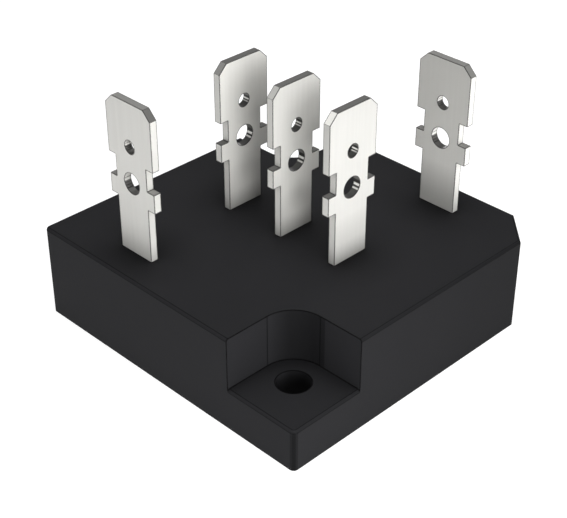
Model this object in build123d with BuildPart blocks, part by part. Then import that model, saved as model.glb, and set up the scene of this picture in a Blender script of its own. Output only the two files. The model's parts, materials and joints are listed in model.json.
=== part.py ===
from build123d import *
import os
from math import sqrt

# Three-phase bridge rectifier with five flat push-on terminals, in millimetres.
# The origin is the middle of the base and +Z is up, out of the top.
# The screw corners are (+X, -Y) and (-X, +Y), the chamfered corner is (+X, +Y).

# Moulded housing
body_side = 35.0            # square footprint
body_height = 10.1          # base to flat top
roof_thickness = 2.0
edge_fillet = 0.5           # upright outer edges
rim_fillet = 0.3            # outer edges of the flat top and of the ledges
marking_chamfer = 3.5       # leg of the chamfered corner, which tells the terminals apart

# Screw corners
screw_inset = 5.05          # hole axis from each side face
screw_hole_radius = 1.7
pocket_radius = 3.4         # room for the screw's head, about the hole axis
ledge_height = 4.5          # seat of the screw's head above the base

# Substrate, its seat in the housing and the adhesive between them
ceramic_thickness = 0.63
foil_thickness = 0.3        # copper on each side of the ceramic
seat_rim = 1.2              # wall left beside the seat
glue_gap = 0.15             # adhesive beside the ceramic
glue_film = 0.1             # adhesive on top of the ceramic
seat_overlap = 0.85         # width of the ceramic's border under the housing
screw_clearance = 4.4       # hole axis to the mitred edge of the ceramic
lower_foil_margin = 0.8     # bare ceramic round the base copper
upper_foil_margin = 1.5     # bare ceramic round the circuit

# Terminals, with depths measured down from the tip
tab_width = 6.3
tab_thickness = 0.8
tab_reach = 16.2            # tip above the housing's top
tip_chamfer = 0.95
blade_length = 6.1          # tip to the notches
lug_top = 8.45              # tip to the shoulders under the notches
lug_bottom = 10.45          # tip to the underside of the shoulders
shank_width = 4.35          # also the width between the notches
detent_depth = 4.6
detent_radius = 0.7
wire_hole_depth = 8.45
wire_hole_radius = 1.1
bend_radius = 0.5           # inside of each bend
relief_jog = 0.6            # sideways step that lets the shank flex
jog_length = 1.6
jog_height = 3.6            # lower end of the jog above the foot
foot_length = 3.4           # foot, from the shank's outer face

# Terminal places, from the side faces to the middle of the tab
row_end_inset = 10.25       # ends of the row of three, and the outer two in line with them
outer_tab_inset = 3.8       # outer two, across the row

# Circuit on the substrate
solder_film = 0.1
foil_gap = 0.8              # between neighbouring copper fields
foil_edge = 0.3             # copper left outside a die or a clip's foot
foot_clearance = 0.5        # between a terminal's foot and its neighbours
die_side = 3.2
die_thickness = 0.3
clip_width = 2.2
clip_thickness = 0.3
clip_pad = 2.0              # clip's length on the die
clip_foot = 1.2             # clip's length on the copper
clip_rise = 0.8             # underside of the arch above the die's solder
clip_ramp = 0.5             # length of each sloping flank
clip_bend_radius = 0.2

# Filling
gel_headspace = 0.85        # air above the gel, for its expansion

# Heights above the base
ceramic_top = foil_thickness + ceramic_thickness
seat_height = ceramic_top + glue_film
copper_top = ceramic_top + foil_thickness
joint_top = copper_top + solder_film
die_top = joint_top + die_thickness
clip_seat = die_top + solder_film
cavity_top = body_height - roof_thickness
gel_top = cavity_top - gel_headspace
tip_height = body_height + tab_reach

# Plan of the screw corners
corner = body_side / 2
screw_place = corner - screw_inset
pocket_side = screw_inset + pocket_radius
screw_spots = [(screw_place, -screw_place), (-screw_place, screw_place)]
ceramic_half = corner - seat_rim - glue_gap
mitre_distance = sqrt(2) * screw_place - screw_clearance
mitre_leg = 2 * ceramic_half - sqrt(2) * mitre_distance

# Plan of the circuit, with the row of alternating-current terminals on the X axis
terminal_pitch = corner - row_end_inset
outer_row = corner - outer_tab_inset
foot_half = shank_width / 2
lower_die_y = -(foot_half + foot_clearance + die_side / 2)
landing_y = foot_half + foot_clearance + clip_foot / 2
field_low = lower_die_y - die_side / 2 - foil_edge
field_high = landing_y + clip_foot / 2 + foil_edge
minus_edge = field_low - foil_gap
plus_edge = field_high + foil_gap
upper_die_y = plus_edge + foil_edge + die_side / 2
clip_reach = upper_die_y - landing_y
phase_x = [-terminal_pitch, 0.0, terminal_pitch]

# The dies stand beside their terminals, so far that the outermost upper die
# keeps the foil's edge inside the mitre
mitre_sum = sqrt(2) * (mitre_distance - upper_foil_margin)
die_reach = terminal_pitch + upper_die_y + die_side + sqrt(2) * foil_edge
die_shift = die_reach - mitre_sum

# Place and turn of each terminal: its foot points along +Y before the turn
terminals = {
    "terminal_minus": (-terminal_pitch, -outer_row, 0),
    "terminal_ac_1": (phase_x[0], 0, -90),
    "terminal_ac_2": (phase_x[1], 0, -90),
    "terminal_ac_3": (phase_x[2], 0, -90),
    "terminal_plus": (terminal_pitch, outer_row, 180),
}

os.makedirs("parts", exist_ok=True)


def keep(part, name):
    part.label = name
    export_step(part, f"parts/{name}.step")
    return part


# Height of a corner along the diagonal of the screw corners, or along the other one
def across_screws(vertex):
    return vertex.X - vertex.Y


def across_marking(vertex):
    return vertex.X + vertex.Y


# Outline of the substrate, pulled in by a margin all round
def substrate_plan(margin):
    with BuildSketch() as plan:
        Rectangle(body_side, body_side)
        chamfer(plan.vertices().sort_by(across_marking)[-1], length=marking_chamfer)
        offset(amount=-(seat_rim + glue_gap), kind=Kind.INTERSECTION)
        screw_corners = plan.vertices().sort_by(across_screws)
        chamfer([screw_corners[0], screw_corners[-1]], length=mitre_leg)
        if margin:
            offset(amount=-margin, kind=Kind.INTERSECTION)
    return plan.sketch


ceramic_plan = substrate_plan(0)
seat_plan = substrate_plan(-glue_gap)
cavity_plan = substrate_plan(seat_overlap)
lower_foil_plan = substrate_plan(lower_foil_margin)
upper_foil_plan = substrate_plan(upper_foil_margin)

# Outline of the housing, shared by its full height and by the ledges in its screw corners
with BuildSketch() as outline:
    Rectangle(body_side, body_side)
    corners = outline.vertices().sort_by(across_marking)
    fillet(corners[:-1], radius=edge_fillet)
    chamfer(outline.vertices().sort_by(across_marking)[-1], length=marking_chamfer)

with BuildPart() as ledges:
    add(outline.sketch)
    extrude(amount=ledge_height)
    fillet(ledges.faces().sort_by(Axis.Z)[-1].edges(), radius=rim_fillet)

# Housing: a shell open below, with a pocket and a screw hole in two corners
with BuildPart() as housing:
    add(outline.sketch)
    extrude(amount=body_height)
    fillet(housing.faces().sort_by(Axis.Z)[-1].edges(), radius=rim_fillet)
    with BuildSketch() as pockets:
        with Locations((corner, -corner), (-corner, corner)):
            Rectangle(2 * pocket_side, 2 * pocket_side)
        inner_corners = pockets.vertices().sort_by(lambda v: v.X**2 + v.Y**2)[:2]
        fillet(inner_corners, radius=pocket_radius)
    extrude(amount=body_height, mode=Mode.SUBTRACT)
    add(ledges.part)
    with Locations([(x, y, ledge_height) for x, y in screw_spots]):
        Hole(radius=screw_hole_radius)
    with BuildSketch() as seat:
        add(seat_plan)
    extrude(amount=seat_height, mode=Mode.SUBTRACT)
    with BuildSketch(Plane.XY.offset(seat_height)) as cavity:
        add(cavity_plan)
    extrude(amount=cavity_top - seat_height, mode=Mode.SUBTRACT)
    with BuildSketch(Plane.XY.offset(cavity_top)) as slots:
        for x, y, turn in terminals.values():
            with Locations(Location((x, y), turn)):
                Rectangle(shank_width, tab_thickness)
    extrude(amount=roof_thickness, mode=Mode.SUBTRACT)
keep(housing.part, "housing")

# Substrate: base copper, ceramic and the copper fields of the circuit
with BuildPart() as base_copper:
    with BuildSketch() as foil:
        add(lower_foil_plan)
    extrude(amount=foil_thickness)
keep(base_copper.part, "base_copper")

with BuildPart() as ceramic:
    with BuildSketch(Plane.XY.offset(foil_thickness)) as plate:
        add(ceramic_plan)
    extrude(amount=ceramic_thickness)
keep(ceramic.part, "ceramic_substrate")

# Each field is a rectangle of the circuit's plan, trimmed to the foil's outline
copper_fields = {
    "copper_field_minus": (0, minus_edge - body_side / 2, body_side, body_side),
    "copper_field_plus": (0, plus_edge + body_side / 2, body_side, body_side),
}
for number, x in enumerate(phase_x, start=1):
    copper_fields[f"copper_field_ac_{number}"] = (
        x,
        (field_low + field_high) / 2,
        terminal_pitch - foil_gap,
        field_high - field_low,
    )

inner_parts = []
for name, (x, y, width, length) in copper_fields.items():
    with BuildPart() as field:
        with BuildSketch(Plane.XY.offset(ceramic_top)) as foil:
            add(upper_foil_plan)
            with Locations((x, y)):
                Rectangle(width, length, mode=Mode.INTERSECT)
        extrude(amount=foil_thickness)
    inner_parts.append(keep(field.part, name))

# Adhesive: a ring that fills the gap beside and above the ceramic's border
with BuildPart() as rim_adhesive:
    with BuildSketch(Plane.XY.offset(foil_thickness)) as bead:
        add(seat_plan)
    extrude(amount=seat_height - foil_thickness)
    add(ceramic.part, mode=Mode.SUBTRACT)
    with BuildSketch(Plane.XY.offset(ceramic_top)) as opening:
        add(cavity_plan)
    extrude(amount=glue_film, mode=Mode.SUBTRACT)
keep(rim_adhesive.part, "rim_adhesive")


# Terminal: a stamped blade whose shank is bent into a flexible foot
def make_terminal(x, y, turn):
    stand = Plane(Location((x, y, 0), turn))
    side_on = Plane(stand.origin, x_dir=stand.y_dir, z_dir=stand.x_dir)
    face_on = Plane(stand.origin, x_dir=stand.x_dir, z_dir=-stand.y_dir)
    outer = -tab_thickness / 2
    jog_low = joint_top + jog_height
    outer_bend = bend_radius + tab_thickness
    with BuildPart() as terminal:
        with BuildSketch(side_on) as section:
            with BuildLine() as strip:
                FilletPolyline(
                    (outer, tip_height),
                    (outer, jog_low + jog_length),
                    (outer + relief_jog, jog_low),
                    (outer + relief_jog, joint_top),
                    (outer + foot_length, joint_top),
                    radius=[outer_bend, bend_radius, outer_bend],
                )
                offset(amount=tab_thickness, side=Side.LEFT)
            make_face()
        extrude(amount=tab_width / 2, both=True)
        with BuildSketch(face_on) as stamping:
            with BuildLine() as half:
                Polyline(
                    (0, tip_height),
                    (tab_width / 2 - tip_chamfer, tip_height),
                    (tab_width / 2, tip_height - tip_chamfer),
                    (tab_width / 2, tip_height - blade_length),
                    (shank_width / 2, tip_height - blade_length),
                    (shank_width / 2, tip_height - lug_top),
                    (tab_width / 2, tip_height - lug_top),
                    (tab_width / 2, tip_height - lug_bottom),
                    (shank_width / 2, tip_height - lug_bottom),
                    (shank_width / 2, joint_top),
                    (0, joint_top),
                )
                mirror(about=Plane.YZ)
            make_face()
            with Locations((0, tip_height - detent_depth)):
                Circle(detent_radius, mode=Mode.SUBTRACT)
            with Locations((0, tip_height - wire_hole_depth)):
                Circle(wire_hole_radius, mode=Mode.SUBTRACT)
        extrude(amount=foot_length, both=True, mode=Mode.INTERSECT)
    return terminal.part


for name, place in terminals.items():
    inner_parts.append(keep(make_terminal(*place), name))


# Clip: a folded copper strip from a die's top down to the neighbouring copper
def make_clip(x, die_y):
    side_on = Plane((x, die_y, 0), x_dir=(0, -1, 0), z_dir=(-1, 0, 0))
    arch = clip_seat + clip_rise
    foot_start = clip_reach - clip_foot / 2
    with BuildPart() as clip:
        with BuildSketch(side_on) as section:
            with BuildLine() as strip:
                FilletPolyline(
                    (-clip_pad / 2, clip_seat),
                    (clip_pad / 2, clip_seat),
                    (clip_pad / 2 + clip_ramp, arch),
                    (foot_start - clip_ramp, arch),
                    (foot_start, joint_top),
                    (foot_start + clip_foot, joint_top),
                    radius=clip_bend_radius,
                )
                offset(amount=clip_thickness, side=Side.LEFT)
            make_face()
        extrude(amount=clip_width / 2, both=True)
    return clip.part


# Dies: the lower one of each phase is soldered to its own copper field,
# the upper one to the plus field
die_spots = []
for number, x in enumerate(phase_x, start=1):
    die_spots.append((f"lower_{number}", x - die_shift, lower_die_y))
    die_spots.append((f"upper_{number}", x + die_shift, upper_die_y))

for suffix, x, y in die_spots:
    with BuildPart() as die:
        with BuildSketch(Plane.XY.offset(joint_top)) as chip:
            with Locations((x, y)):
                Rectangle(die_side, die_side)
        extrude(amount=die_thickness)
    inner_parts.append(keep(die.part, f"diode_die_{suffix}"))
    inner_parts.append(keep(make_clip(x, y), f"clip_{suffix}"))

# Solder films under the dies, under both ends of the clips and under the terminals' feet
with BuildPart() as die_solder:
    with BuildSketch(Plane.XY.offset(copper_top)) as films:
        with Locations([(x, y) for _, x, y in die_spots]):
            Rectangle(die_side, die_side)
    extrude(amount=solder_film)
inner_parts.append(keep(die_solder.part, "die_solder"))

with BuildPart() as clip_solder:
    with BuildSketch(Plane.XY.offset(die_top)) as pads:
        with Locations([(x, y) for _, x, y in die_spots]):
            Rectangle(clip_width, clip_pad)
    extrude(amount=solder_film)
    with BuildSketch(Plane.XY.offset(copper_top)) as landings:
        with Locations([(x, y - clip_reach) for _, x, y in die_spots]):
            Rectangle(clip_width, clip_foot)
    extrude(amount=solder_film)
inner_parts.append(keep(clip_solder.part, "clip_solder"))

with BuildPart() as terminal_solder:
    with BuildSketch(Plane.XY.offset(copper_top)) as films:
        bend_end = relief_jog + bend_radius + tab_thickness / 2
        foot_end = foot_length - tab_thickness / 2
        for x, y, turn in terminals.values():
            with Locations(Location((x, y), turn)):
                with Locations((0, (bend_end + foot_end) / 2)):
                    Rectangle(shank_width, foot_end - bend_end)
    extrude(amount=solder_film)
inner_parts.append(keep(terminal_solder.part, "terminal_solder"))

# Gel: what is left of the cavity round the circuit, up to the headspace
with BuildPart() as filling_gel:
    with BuildSketch(Plane.XY.offset(ceramic_top)) as pool:
        add(cavity_plan)
    extrude(amount=gel_top - ceramic_top)
    add(inner_parts, mode=Mode.SUBTRACT)
keep(filling_gel.part, "filling_gel")
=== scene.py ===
# Three-phase bridge rectifier: finishes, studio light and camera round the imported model
import json
from math import cos, radians, sin

import bpy
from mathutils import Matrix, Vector

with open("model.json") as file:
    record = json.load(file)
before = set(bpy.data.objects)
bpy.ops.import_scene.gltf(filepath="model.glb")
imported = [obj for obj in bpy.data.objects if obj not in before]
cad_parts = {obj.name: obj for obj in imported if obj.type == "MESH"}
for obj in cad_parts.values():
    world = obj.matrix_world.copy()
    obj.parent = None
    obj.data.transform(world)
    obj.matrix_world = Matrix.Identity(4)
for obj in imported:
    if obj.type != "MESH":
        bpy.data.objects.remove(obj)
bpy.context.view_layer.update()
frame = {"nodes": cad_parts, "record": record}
mm = 0.001
white = (1, 1, 1, 1)
print("frame loaded,", len(frame["nodes"]), "nodes")


def mountPlace(name):
    return next(mount["pos_m"] for mount in frame["record"]["mounts"] if mount["name"] == name)


def shaded(colour, level):
    return tuple(level * channel for channel in colour[:3]) + (1,)


# Node helpers, shared by every material and group
def feed(tree, socket, value):
    if hasattr(value, "is_linked"):
        tree.links.new(value, socket)
    else:
        socket.default_value = value


def addNode(tree, kind, inputs=None, **settings):
    node = tree.nodes.new("ShaderNode" + kind)
    for key, value in settings.items():
        setattr(node, key, value)
    for socket, value in (inputs or {}).items():
        feed(tree, node.inputs[socket], value)
    return node


def mathNode(tree, operation, *values, clamp=False):
    return addNode(tree, "Math", dict(enumerate(values)), operation=operation, use_clamp=clamp).outputs[0]


def vectorNode(tree, operation, *vectors):
    outputs = addNode(tree, "VectorMath", dict(enumerate(vectors)), operation=operation).outputs
    return outputs["Value" if operation in ("DOT_PRODUCT", "DISTANCE", "LENGTH") else "Vector"]


def splitVector(tree, vector):
    return addNode(tree, "SeparateXYZ", {0: vector}).outputs


def joinVector(tree, x=0.0, y=0.0, z=0.0):
    return addNode(tree, "CombineXYZ", {0: x, 1: y, 2: z}).outputs[0]


def objectPlace(tree):
    return addNode(tree, "TexCoord").outputs["Object"]


def mapRange(tree, value, start, end, low=0.0, high=1.0, smooth=False):
    inputs = {"Value": value, "From Min": start, "From Max": end, "To Min": low, "To Max": high}
    kind = "SMOOTHSTEP" if smooth else "LINEAR"
    return addNode(tree, "MapRange", inputs, interpolation_type=kind).outputs[0]


def mixColour(tree, factor, first, second):
    inputs = {0: factor, 6: first, 7: second}
    return addNode(tree, "Mix", inputs, data_type="RGBA", clamp_factor=True).outputs[2]


def addRamp(tree, value, stops, interpolation="LINEAR"):
    node = addNode(tree, "ValToRGB", {"Fac": value})
    ramp = node.color_ramp
    ramp.interpolation = interpolation
    while len(ramp.elements) < len(stops):
        ramp.elements.new(1.0)
    for element, (start, colour) in zip(ramp.elements, stops):
        element.position, element.color = start, colour
    return node.outputs["Color"]


def newGroup(name, inputs, outputs):
    group = bpy.data.node_groups.new(name, "ShaderNodeTree")
    for label, kind, value in inputs:
        socket = group.interface.new_socket(label, in_out="INPUT", socket_type="NodeSocket" + kind)
        socket.default_value = value
    for label in outputs:
        group.interface.new_socket(label, in_out="OUTPUT", socket_type="NodeSocketFloat")
    return group, group.nodes.new("NodeGroupInput").outputs, group.nodes.new("NodeGroupOutput").inputs


def useGroup(tree, group, **values):
    return addNode(tree, "Group", values, node_tree=group).outputs


def newMaterial(name, **settings):
    material = bpy.data.materials.new(name)
    material.use_nodes = True
    tree = material.node_tree
    shader = tree.nodes["Principled BSDF"]
    for key, value in settings.items():
        shader.inputs[key].default_value = value
    return material, tree, shader.inputs


# Colour of a finish, with the roughness and the fine relief that follow its grain
def finishSurface(tree, shader, colour, pattern, values):
    middle, spread = values["roughness"], values["roughSpread"]
    rough = mapRange(tree, pattern, 0.0, 1.0, middle - spread, middle + spread)
    relief = {"Height": pattern, "Distance": values["reliefDepth"], "Strength": values["reliefStrength"]}
    tree.links.new(colour, shader["Base Color"])
    tree.links.new(rough, shader["Roughness"])
    tree.links.new(addNode(tree, "Bump", relief).outputs[0], shader["Normal"])


raySamples = 8      # of the two masks that feel their way round: edges and openness


# Thin mask along every sharp edge, inside and outside corners alike
def makeEdgeMask():
    group, given, result = newGroup("edgeMask", [("Width", "Float", 0.1 * mm)], ["Mask"])
    begins, full = 0.985, 0.92          # cosine between the rounded facing and the true one
    rounded = addNode(group, "Bevel", {"Radius": given["Width"]}, samples=raySamples).outputs[0]
    facing = addNode(group, "NewGeometry").outputs["True Normal"]
    match = vectorNode(group, "DOT_PRODUCT", rounded, facing)
    group.links.new(mapRange(group, match, begins, full, smooth=True), result["Mask"])
    return group


# How open a spot is: 1 on a free face, less in a corner, a pocket or a hole, or beside another piece
def makeOpenness():
    inputs = [("Reach", "Float", 3 * mm), ("Contrast", "Float", 1.0)]
    group, given, result = newGroup("openness", inputs, ["Own", "All"])
    for label, alone in (("Own", True), ("All", False)):
        reach = {"Distance": given["Reach"]}
        shade = addNode(group, "AmbientOcclusion", reach, samples=raySamples, only_local=alone)
        group.links.new(mathNode(group, "POWER", shade.outputs["AO"], given["Contrast"]), result[label])
    return group


# Fine uneven grain of a moulded or cast surface
def makeGrain():
    inputs = [("Size", "Float", 0.3 * mm), ("Clouding", "Float", 6 * mm)]
    group, given, result = newGroup("grain", inputs, ["Fine", "Cloud"])
    place = objectPlace(group)
    for label, size, detail in (("Fine", "Size", 3.0), ("Cloud", "Clouding", 2.0)):
        scale = mathNode(group, "DIVIDE", 1.0, given[size])
        noise = addNode(group, "TexNoise", {"Vector": place, "Scale": scale, "Detail": detail})
        group.links.new(noise.outputs["Fac"], result[label])
    return group


# Streaks that a rolled strip keeps along its length
def makeStreaks():
    inputs = [("Stretch", "Vector", (1.0, 1.0, 1.0)), ("Size", "Float", 0.2 * mm)]
    group, given, result = newGroup("streaks", inputs, ["Streak"])
    drawn = vectorNode(group, "MULTIPLY", objectPlace(group), given["Stretch"])
    scale = mathNode(group, "DIVIDE", 1.0, given["Size"])
    noise = addNode(group, "TexNoise", {"Vector": drawn, "Scale": scale, "Detail": 2.0})
    group.links.new(noise.outputs["Fac"], result["Streak"])
    return group


# Thin dark lines beside the rounded rims, along the upright corners and at the seams of the screw pockets, and
# painted shade on the pockets' round walls
linesAndShade = {
    "rimBands": ((0.02, 0.30), (0.94, 0.9996)),     # where a rim's roll is lined, by the Z of its facing
    "rimGain": 2.4,
    "rollGain": 1.1,                    # fainter shade over the whole roll
    "wallBelow": 0.5,                   # a facing with less Z than this belongs to a wall
    "stripeTurn": radians(435),         # turn of the corner's stripes over one fillet
    "stripeLow": 0.35,                  # strength between two stripes
    "pocketSlack": 0.05 * mm,
    "dimFrom": (0.53, -0.85, 0.0),      # the round wall of a pocket gets painted shade where it faces along this line
    "dimRange": (0.58, 0.95),
}


def makeEdgeLinesAndShade():
    inputs = [
        ("Inset", "Float", 12 * mm), ("Radius", "Float", 3 * mm), ("Width", "Float", 0.1 * mm),
        ("Half", "Float", 17 * mm), ("Fillet", "Float", 0.5 * mm),
    ]
    group, given, result = newGroup("edgeLinesAndShade", inputs, ["Rim", "Seam", "Corner", "Round"])
    facing = addNode(group, "NewGeometry").outputs["Normal"]
    rise = mathNode(group, "ABSOLUTE", splitVector(group, facing)["Z"])
    isWall = mathNode(group, "LESS_THAN", rise, linesAndShade["wallBelow"])
    mirrored = vectorNode(group, "ABSOLUTE", objectPlace(group))
    plan = vectorNode(group, "MULTIPLY", mirrored, (1.0, 1.0, 0.0))

    # two lines along each rim, and a fainter shade over the roll between them
    rims = []
    for low, high in linesAndShade["rimBands"]:
        away = mathNode(group, "ABSOLUTE", mathNode(group, "SUBTRACT", rise, (low + high) / 2))
        rims.append(mapRange(group, away, 0.0, (high - low) / 2, linesAndShade["rimGain"], 0.0))
    lines = mathNode(group, "MAXIMUM", *rims, clamp=True)
    roll = mathNode(group, "MULTIPLY", rise, mathNode(group, "SUBTRACT", 1.0, rise))
    roll = mathNode(group, "MULTIPLY", roll, linesAndShade["rollGain"])
    group.links.new(mathNode(group, "MAXIMUM", lines, roll), result["Rim"])

    # where a pocket's straight walls meet its round one
    near = mathNode(group, "SUBTRACT", given["Inset"], given["Radius"])
    spots = (joinVector(group, near, given["Inset"]), joinVector(group, given["Inset"], near))
    nearest = mathNode(group, "MINIMUM", *(vectorNode(group, "DISTANCE", plan, spot) for spot in spots))
    seam = mapRange(group, nearest, 0.0, given["Width"], 1.0, 0.0)
    group.links.new(mathNode(group, "MULTIPLY", seam, isWall), result["Seam"])

    # the fillet of an upright corner begins where X and Y add up to both halves less one fillet
    begins = mathNode(group, "SUBTRACT", mathNode(group, "MULTIPLY", given["Half"], 2.0), given["Fillet"])
    past = mathNode(group, "SUBTRACT", vectorNode(group, "DOT_PRODUCT", plan, (1.0, 1.0, 0.0)), begins)
    turned = mathNode(group, "DIVIDE", past, given["Fillet"])
    wave = mathNode(group, "COSINE", mathNode(group, "MULTIPLY", turned, linesAndShade["stripeTurn"]))
    stripe = mapRange(group, mathNode(group, "ABSOLUTE", wave), 0.0, 1.0, linesAndShade["stripeLow"], 1.0)
    corner = mathNode(group, "MULTIPLY", mathNode(group, "GREATER_THAN", past, 0.0), stripe)
    group.links.new(mathNode(group, "MULTIPLY", corner, isWall), result["Corner"])

    # painted shade on the round wall of a pocket
    away = vectorNode(group, "DISTANCE", plan, joinVector(group, given["Inset"], given["Inset"]))
    wallAt = mathNode(group, "ADD", given["Radius"], linesAndShade["pocketSlack"])
    depth = mathNode(group, "ABSOLUTE", vectorNode(group, "DOT_PRODUCT", facing, linesAndShade["dimFrom"]))
    dim = mapRange(group, depth, *linesAndShade["dimRange"])
    dim = mathNode(group, "MULTIPLY", dim, mathNode(group, "LESS_THAN", away, wallAt))
    group.links.new(mathNode(group, "MULTIPLY", dim, isWall), result["Round"])
    return group


# Where a spot lies in the two punched holes of a tab: on their wall or not, and how high, from -1 to 1
def makeHoleWall():
    inputs = [
        ("Across", "Float", 0.0), ("Upper", "Float", 21 * mm), ("Upper Radius", "Float", 0.7 * mm),
        ("Lower", "Float", 18 * mm), ("Lower Radius", "Float", 1.1 * mm),
    ]
    group, given, result = newGroup("holeWall", inputs, ["Wall", "Height"])
    slack = 1.03                        # in radii, so that the whole wall is met
    z = splitVector(group, objectPlace(group))["Z"]
    walls, heights = [], []
    for label in ("Upper", "Lower"):
        radius = given[label + " Radius"]
        up = mathNode(group, "SUBTRACT", z, given[label])
        away = vectorNode(group, "LENGTH", joinVector(group, given["Across"], up))
        walls.append(mathNode(group, "LESS_THAN", away, mathNode(group, "MULTIPLY", radius, slack)))
        heights.append(mathNode(group, "MULTIPLY", mathNode(group, "DIVIDE", up, radius), walls[-1]))
    group.links.new(mathNode(group, "MAXIMUM", *walls), result["Wall"])
    group.links.new(mathNode(group, "ADD", *heights), result["Height"])
    return group


edgeMask = makeEdgeMask()
openness = makeOpenness()
grain = makeGrain()
streaks = makeStreaks()
edgeLinesAndShade = makeEdgeLinesAndShade()
holeWall = makeHoleWall()
print("node groups made")

# Moulded black plastic of the housing
housing = {
    "colour": (0.0208, 0.0208, 0.0226, 1),
    "cloudPale": 1.12,                  # how much paler its cloudy patches are
    "cloudSize": 9 * mm,
    "ledgeColour": (0.0222, 0.0222, 0.0240, 1),     # a little paler on the screw ledges
    "ledgeBelow": 6 * mm,
    "paintedShadeColour": (0.0028, 0.0028, 0.0030, 1),
    "edgeColour": (0.0026, 0.0026, 0.0028, 1),
    "edgeWidth": 0.24 * mm,
    "rimLine": 0.85,                    # strength of each line
    "cornerLine": 0.70,
    "roundDim": 0.62,
    "seamWidth": 0.09 * mm,
    "topFrom": 0.5,                     # a facing with more Z than this belongs to the roof or a ledge
    "roofReach": 5.5 * mm,              # reach of the painted shade round what stands on the roof
    "roofContrast": 1.75,
    "ledgeEase": 1.30,
    "wallReach": 7 * mm,
    "wallContrast": 0.30,
    "sideShadeDepth": (0.19, 0.46),             # how much darker the +X side is painted as shade, at its -Y and +Y ends
    "sideShadeTurn": (0.3, 0.7),           # X of a facing where the painted shade on that side begins and is full
    "outerFrom": 13 * mm,
    "half": 17.5 * mm,
    "fillet": 0.5 * mm,
    "pocketRadius": 3.4 * mm,
    "specular": 0.04,
    "roughness": 0.58,
    "roughSpread": 0.06,
    "grainSize": 0.16 * mm,
    "reliefDepth": 0.006 * mm,
    "reliefStrength": 0.5,
}


def housingPlastic():
    material, tree, shader = newMaterial("housingPlastic", **{"Specular IOR Level": housing["specular"]})
    surface = useGroup(tree, grain, Size=housing["grainSize"], Clouding=housing["cloudSize"])
    facing = splitVector(tree, addNode(tree, "NewGeometry").outputs["True Normal"])
    place = splitVector(tree, objectPlace(tree))
    isTop = mathNode(tree, "GREATER_THAN", facing["Z"], housing["topFrom"])
    isLedge = mathNode(tree, "MULTIPLY", isTop, mathNode(tree, "LESS_THAN", place["Z"], housing["ledgeBelow"]))
    paler = shaded(housing["colour"], housing["cloudPale"])
    body = mixColour(tree, surface["Cloud"], housing["colour"], paler)
    body = mixColour(tree, isLedge, body, housing["ledgeColour"])

    # painted shade on the +X side, deeper towards +Y
    sideShadeDepth = mapRange(tree, place["Y"], -housing["half"], housing["half"], *housing["sideShadeDepth"])
    sideShade = mathNode(tree, "MULTIPLY", mapRange(tree, facing["X"], *housing["sideShadeTurn"]), sideShadeDepth)
    isOuter = mathNode(tree, "GREATER_THAN", place["X"], housing["outerFrom"])
    body = mixColour(tree, mathNode(tree, "MULTIPLY", sideShade, isOuter), body, housing["paintedShadeColour"])

    # painted shade round what stands on the roof, eased on the ledges, and in the walls' corners, pockets and
    # holes
    ease = mathNode(tree, "MULTIPLY", isLedge, housing["ledgeEase"])
    contrast = mathNode(tree, "SUBTRACT", housing["roofContrast"], ease)
    roof = useGroup(tree, openness, Reach=housing["roofReach"], Contrast=contrast)["All"]
    walls = useGroup(tree, openness, Reach=housing["wallReach"], Contrast=housing["wallContrast"])["Own"]
    body = mixColour(tree, mixColour(tree, isTop, walls, roof), housing["paintedShadeColour"], body)

    lines = useGroup(
        tree, edgeLinesAndShade, Inset=mountPlace("screw_hole_front")[0], Radius=housing["pocketRadius"],
        Width=housing["seamWidth"], Half=housing["half"], Fillet=housing["fillet"],
    )
    # painted shade on the round walls of the pockets
    dim = mathNode(tree, "MULTIPLY", lines["Round"], housing["roundDim"])
    body = mixColour(tree, dim, body, housing["paintedShadeColour"])
    edge = useGroup(tree, edgeMask, Width=housing["edgeWidth"])["Mask"]
    line = mathNode(tree, "MAXIMUM", lines["Seam"], edge)
    for label, strength in (("Rim", "rimLine"), ("Corner", "cornerLine")):
        line = mathNode(tree, "MAXIMUM", line, mathNode(tree, "MULTIPLY", lines[label], housing[strength]))
    body = mixColour(tree, line, body, housing["edgeColour"])
    finishSurface(tree, shader, body, surface["Fine"], housing)
    return material
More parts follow.
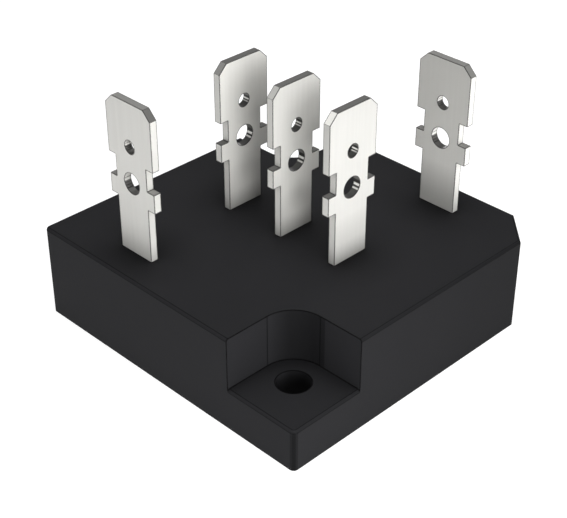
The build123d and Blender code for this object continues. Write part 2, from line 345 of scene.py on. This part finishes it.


# Tin plating of the stamped terminals, with painted shade where they look up and painted shade and reflection
# in the punched holes.
# The outer two, plus and minus, stand across the inner three for the alternating current.
terminal = {
    # broad faces and narrow sides of the one plating in different tones: painted light and shade, the outer
    # tabs' faces darker than their sides
    "faceColour": {"outer": (0.85, 0.842, 0.804, 1), "inner": (0.99, 0.980, 0.937, 1)},
    "sideColour": {"outer": (0.99, 0.980, 0.937, 1), "inner": (0.97, 0.960, 0.918, 1)},
    "edgeColour": (0.03, 0.029, 0.027, 1),
    "shadeColour": {"outer": (0.50, 0.494, 0.470, 1), "inner": (0.15, 0.148, 0.141, 1)},
    "shadeReach": 2.2 * mm,
    "shadeContrast": 1.2,
    "upShadeColour": {"outer": (0.33, 0.325, 0.311, 1), "inner": (0.17, 0.167, 0.160, 1)},
    "upShadeFrom": (0.45, 0.30, 0.84),     # painted shade falls on what faces this side
    "upShadeRange": (0.50, 0.85),          # cosine to that side where it begins and is full
    "tint": (1.0, 0.99, 0.945),         # of clean tin
    "faceTurn": 0.8,                    # a broad face is turned at least so far to its own side
    "paintedShadowReach": 3 * mm,
    "chamferUp": (0.7, 0.2),            # Z of a corner chamfer's facing, and how far off that it may be
    "edgeWidth": 0.20 * mm,
    "streakTint": 0.08,
    "streakStretch": (1.0, 1.0, 0.04),
    "streakSize": 0.35 * mm,
    "metallic": 0.27,
    "roughness": 0.38,
    "roughSpread": 0.05,
    "reliefDepth": 0.004 * mm,
    "reliefStrength": 0.2,
    "footUp": 10.1 * mm,
    "tipUp": 26.3 * mm,
    "starts": (0.0, 0.31, 0.60, 1.0),   # shares of that height: foot, mid shank, neck by the notches, tip
    "detentUp": 21.7 * mm,
    "detentRadius": 0.7 * mm,
    "wireUp": 17.85 * mm,
    "wireRadius": 1.1 * mm,
    "cutDark": (0.045, 0.044, 0.042, 1),
    "cutLow": (0.09, 0.089, 0.085, 1),
    "cutDim": (0.145, 0.143, 0.137, 1),
    "cutGrey": (0.26, 0.256, 0.243, 1),
    "cutPale": (0.90, 0.89, 0.85, 1),
    # bands of painted shade and painted reflection on a hole's wall, from its bottom up
    "bands": {
        "outer": (
            (0.0, "cutDim"), (0.12, "cutDark"), (0.15, "cutDim"), (0.22, "cutDark"), (0.25, "cutDim"),
            (0.33, "cutDark"), (0.36, "cutDim"), (0.43, "cutPale"), (0.56, "cutGrey"), (0.60, "cutPale"),
        ),
        "inner": (
            (0.0, "cutLow"), (0.18, "cutPale"), (0.25, "cutDark"), (0.33, "cutPale"),
            (0.44, "cutDark"), (0.62, "cutGrey"), (0.90, "cutDark"),
        ),
    },
}
# Each tab's own state. Faces and sides: painted light and shade on them at foot, shank, neck and tip. Then the
# painted shadow that darkens the faces there towards +Y, or towards -Y where the number is negative; the
# painted light and shade of the corner chamfers; and a faint painted shadow spot on the faces, so far along Y
# and so high.
tabs = {
    "terminal_minus": {
        "faces": (0.97, 0.80, 0.785, 0.74),
        "sides": (1.00, 1.00, 0.93, 0.92),
        "chamfer": 0.17,
    },
    "terminal_ac_1": {
        "faces": (0.69, 0.80, 0.89, 1.00),
        "sides": (0.86, 1.00, 0.79, 0.65),
        "paintedShadow": (-0.36, 0.0, 0.34, -0.04),
        "topShade": 0.5,                 # more painted shade on what looks up
        "shadeSpot": {"along": 0.2 * mm, "up": 14.3 * mm, "reach": 2.4 * mm, "strength": 0.19},
    },
    "terminal_ac_2": {
        "faces": (0.90, 0.98, 0.91, 1.00),
        "sides": (0.86, 1.00, 0.78, 0.62),
        "paintedShadow": (-0.56, -0.22, 0.34, -0.25),
        "shadeSpot": {"along": 0.5 * mm, "up": 14.2 * mm, "reach": 2.6 * mm, "strength": 0.24},
    },
    "terminal_ac_3": {
        "faces": (0.76, 0.98, 0.82, 0.73),
        "sides": (0.82, 0.98, 0.72, 0.54),
        "chamfer": 1.0,
    },
    "terminal_plus": {
        "faces": (0.345, 0.86, 0.77, 0.595),
        "sides": (1.00, 1.00, 1.00, 1.00),
        "chamfer": 0.286,
    },
}


def toneByHeight(tree, height, colour, levels):
    tones = [shaded(colour, level) for level in levels]
    return addRamp(tree, height, list(zip(terminal["starts"], tones)))


def terminalPlating(name):
    kind, broad = ("inner", "X") if name.startswith("terminal_ac") else ("outer", "Y")
    tab = tabs[name]
    material, tree, shader = newMaterial(name + "Plating", Metallic=terminal["metallic"])
    streak = useGroup(tree, streaks, Stretch=terminal["streakStretch"], Size=terminal["streakSize"])["Streak"]
    normal = addNode(tree, "NewGeometry").outputs["True Normal"]
    facing = splitVector(tree, normal)
    place = splitVector(tree, objectPlace(tree))
    height = mapRange(tree, place["Z"], terminal["footUp"], terminal["tipUp"])
    # painted light and shade on faces and sides, by height
    face = toneByHeight(tree, height, terminal["faceColour"][kind], tab["faces"])
    side = toneByHeight(tree, height, terminal["sideColour"][kind], tab["sides"])

    # painted shadow of the neighbouring tab across the faces
    if "paintedShadow" in tab:
        ends = []
        for sign in (-1, 1):
            levels = [max(sign * level, 0.0) for level in tab["paintedShadow"]]
            ends.append(toneByHeight(tree, height, white, levels))
        paintedShadow = mapRange(tree, place["Y"], -terminal["paintedShadowReach"], terminal["paintedShadowReach"], *ends)
        face = mixColour(tree, paintedShadow, face, terminal["edgeColour"])
    # a faint painted shadow spot on the faces
    if "shadeSpot" in tab:
        mark = tab["shadeSpot"]
        spot = joinVector(tree, 0.0, place["Y"], place["Z"])
        away = vectorNode(tree, "DISTANCE", spot, (0.0, mark["along"], mark["up"]))
        shadeSpot = mapRange(tree, away, 0.0, mark["reach"], mark["strength"], 0.0, smooth=True)
        face = mixColour(tree, shadeSpot, face, terminal["edgeColour"])
    isFace = mathNode(tree, "GREATER_THAN", mathNode(tree, "ABSOLUTE", facing[broad]), terminal["faceTurn"])
    plating = mixColour(tree, isFace, side, face)
    streaked = mathNode(tree, "MULTIPLY", streak, terminal["streakTint"])
    plating = mixColour(tree, streaked, plating, terminal["edgeColour"])

    # painted shade where the tab is hemmed in, as at its foot by the housing
    clear = useGroup(tree, openness, Reach=terminal["shadeReach"], Contrast=terminal["shadeContrast"])["All"]
    plating = mixColour(tree, clear, terminal["shadeColour"][kind], plating)
    # painted shade on what looks up and towards +X and +Y
    upShadeFacing = vectorNode(tree, "DOT_PRODUCT", normal, terminal["upShadeFrom"])
    if "topShade" in tab:
        upShadeFacing = mathNode(tree, "MULTIPLY_ADD", facing["Z"], tab["topShade"], upShadeFacing)
    upShade = mapRange(tree, upShadeFacing, *terminal["upShadeRange"])
    plating = mixColour(tree, upShade, plating, terminal["upShadeColour"][kind])
    # painted light and shade on the corner chamfers, one tone per tab
    if "chamfer" in tab:
        isChamfer = mathNode(tree, "COMPARE", facing["Z"], *terminal["chamferUp"])
        plating = mixColour(tree, isChamfer, plating, shaded(terminal["tint"], tab["chamfer"]))

    across = place["Y"]
    if kind == "outer":
        column = abs(mountPlace("tab_plus")[0])
        across = mathNode(tree, "SUBTRACT", mathNode(tree, "ABSOLUTE", place["X"]), column)
    hole = useGroup(tree, holeWall, **{
        "Across": across, "Upper": terminal["detentUp"], "Upper Radius": terminal["detentRadius"],
        "Lower": terminal["wireUp"], "Lower Radius": terminal["wireRadius"],
    })
    # painted shade and painted reflection on the walls of the punched holes
    stops = [(start, terminal[tone]) for start, tone in terminal["bands"][kind]]
    holeShading = addRamp(tree, mapRange(tree, hole["Height"], -1.0, 1.0), stops, "CONSTANT")
    plating = mixColour(tree, hole["Wall"], plating, holeShading)
    edge = useGroup(tree, edgeMask, Width=terminal["edgeWidth"])["Mask"]
    plating = mixColour(tree, edge, plating, terminal["edgeColour"])
    finishSurface(tree, shader, plating, streak, terminal)
    return material


# Materials of the circuit and the base, seen from below or when the housing is lifted, and the nodes of each
circuitGrain = {
    "grainSize": 0.25 * mm,
    "cloudSize": 3 * mm,
    "roughShare": 0.15,                 # how far the roughness wanders, as a share of it
    "reliefDepth": 0.004 * mm,
    "reliefStrength": 0.4,
}
circuit = {
    "solder": {
        "nodes": ("terminal_solder", "die_solder", "clip_solder"),
        "colour": (0.62, 0.62, 0.63, 1), "tarnish": (0.40, 0.40, 0.41, 1), "metallic": 1.0, "roughness": 0.42,
    },
    "copper": {
        "nodes": ("base_copper", "copper_field", "clip_"),
        "colour": (0.72, 0.38, 0.24, 1), "tarnish": (0.42, 0.20, 0.13, 1), "metallic": 1.0, "roughness": 0.36,
    },
    "ceramic": {
        "nodes": ("ceramic",),
        "colour": (0.86, 0.85, 0.80, 1), "tarnish": (0.78, 0.77, 0.72, 1), "metallic": 0.0, "roughness": 0.62,
    },
    "silicon": {
        "nodes": ("diode_die",),
        "colour": (0.10, 0.11, 0.13, 1), "tarnish": (0.06, 0.07, 0.08, 1), "metallic": 0.6, "roughness": 0.20,
    },
    "gel": {
        "nodes": ("filling_gel",),
        "colour": (0.80, 0.84, 0.84, 1), "tarnish": (0.72, 0.78, 0.78, 1), "metallic": 0.0, "roughness": 0.12,
    },
    "adhesive": {
        "nodes": ("rim_adhesive",),
        "colour": (0.05, 0.05, 0.052, 1), "tarnish": (0.03, 0.03, 0.03, 1), "metallic": 0.0, "roughness": 0.6,
    },
}


def circuitMaterial(name):
    values = {**circuitGrain, **circuit[name]}
    values["roughSpread"] = values["roughShare"] * values["roughness"]
    material, tree, shader = newMaterial(name, Metallic=values["metallic"])
    surface = useGroup(tree, grain, Size=values["grainSize"], Clouding=values["cloudSize"])
    colour = mixColour(tree, surface["Cloud"], values["tarnish"], values["colour"])
    finishSurface(tree, shader, colour, surface["Fine"], values)
    return material


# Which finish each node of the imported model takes, by the longest start of its name
finishes = {"housing": housingPlastic()}
finishes.update((name, terminalPlating(name)) for name in tabs)
for name, values in circuit.items():
    finishes.update(dict.fromkeys(values["nodes"], circuitMaterial(name)))
print("finishes made")


def finishFor(name):
    starts = [start for start in finishes if name.startswith(start)]
    return finishes[max(starts, key=len)]


for name, node in frame["nodes"].items():
    node.data.materials.clear()
    node.data.materials.append(finishFor(name))
print("finishes placed")

# Floor and studio light
studio = {
    "floorSide": 6.0,
    "floorColour": (0.62, 0.62, 0.62, 1),
    "shadowColour": (0.40, 0.40, 0.40, 1),  # how much of its light and shadow the camera sees on the floor
    "floorWhite": 0.80,                     # plain white under that
    "wallLight": 0.38,                      # level of the room on its pale side
    "wallRange": (-0.2, 0.8),               # cosine to that side where its light begins and is full
    "lampTarget": (0, 0, 8 * mm),
}


def makeFloor():
    bpy.ops.mesh.primitive_plane_add(size=studio["floorSide"])
    floor = bpy.context.object
    floor.name = "floor"
    material = bpy.data.materials.new("floor")
    material.use_nodes = True
    tree = material.node_tree
    tree.nodes.clear()
    path = addNode(tree, "LightPath").outputs
    seen = mathNode(tree, "MAXIMUM", path["Is Camera Ray"], path["Is Transmission Ray"])
    seen = mathNode(tree, "MAXIMUM", seen, path["Is Glossy Ray"])
    colour = mixColour(tree, seen, studio["floorColour"], studio["shadowColour"])
    paper = addNode(tree, "BsdfDiffuse", {"Color": colour})
    plain = addNode(tree, "Emission", {"Strength": mathNode(tree, "MULTIPLY", seen, studio["floorWhite"])})
    both = addNode(tree, "AddShader", {0: paper.outputs[0], 1: plain.outputs[0]})
    addNode(tree, "OutputMaterial", {"Surface": both.outputs[0]})
    floor.data.materials.append(material)


# The room is pale on the part's -X side, and dark before, behind, overhead and on its +X side
def makeWorld():
    world = bpy.data.worlds.new("studio")
    world.use_nodes = True
    bpy.context.scene.world = world
    tree = world.node_tree
    tree.nodes.clear()
    across = splitVector(tree, addNode(tree, "TexCoord").outputs["Generated"])["X"]
    towards = mathNode(tree, "MULTIPLY", across, -1.0)
    wall = mapRange(tree, towards, *studio["wallRange"], 0.0, studio["wallLight"], smooth=True)
    lit = addNode(tree, "Background", {"Strength": wall})
    addNode(tree, "OutputWorld", {"Surface": lit.outputs[0]})


# Soft boxes: where each stands round the part, turned from +X towards +Y, how wide it is and how strong
lamps = {
    "keyLight": {"azimuth": -20, "height": 15, "distance": 0.18, "side": 0.11, "power": 0.275},
    "cornerLight": {"azimuth": -22, "height": 5, "distance": 0.085, "side": 0.03, "power": 0.022},
    "sideLight": {"azimuth": -95, "height": 10, "distance": 0.18, "side": 0.11, "power": 0.105},
    "backLight": {"azimuth": 135, "height": 1.5, "distance": 0.22, "side": 0.06, "power": 0.055},
    "topLight": {"azimuth": 60, "height": 85, "distance": 0.45, "side": 0.30, "power": 1.30},
}


def pointAt(thing, target):
    thing.rotation_euler = (Vector(target) - thing.location).to_track_quat("-Z", "Y").to_euler()


def addLamp(name, azimuth, height, distance, side, power):
    light = bpy.data.lights.new(name, "AREA")
    light.size, light.energy = side, power
    lamp = bpy.data.objects.new(name, light)
    bpy.context.scene.collection.objects.link(lamp)
    a, h = radians(azimuth), radians(height)
    lamp.location = (distance * cos(h) * cos(a), distance * cos(h) * sin(a), distance * sin(h))
    pointAt(lamp, studio["lampTarget"])


# Camera at the photo's angle: it looks over the front screw corner, between the -Y and the +X side
camera = {
    "azimuth": 45.164,          # turn from the -Y side towards +X
    "height": 33.287,
    "distance": 134.743 * mm,
    "target": (0.997 * mm, -2.361 * mm, 7.861 * mm),
    "pixels": 567,              # width of the picture
    "focalPixels": 1363.4,
    "sensor": 36.0,
    "nearest": 5 * mm,
}


def addCamera():
    data = bpy.data.cameras.new("camera")
    data.sensor_width = camera["sensor"]
    data.lens = camera["focalPixels"] / camera["pixels"] * camera["sensor"]
    data.clip_start = camera["nearest"]
    viewer = bpy.data.objects.new("camera", data)
    bpy.context.scene.collection.objects.link(viewer)
    a, h = radians(camera["azimuth"]), radians(camera["height"])
    back = Vector((sin(a) * cos(h), -cos(a) * cos(h), sin(h)))
    viewer.location = Vector(camera["target"]) + camera["distance"] * back
    pointAt(viewer, camera["target"])
    bpy.context.scene.camera = viewer


makeFloor()
makeWorld()
for name, values in lamps.items():
    addLamp(name, **values)
addCamera()
bpy.context.scene.view_settings.view_transform = "Standard"
print("studio and camera placed")
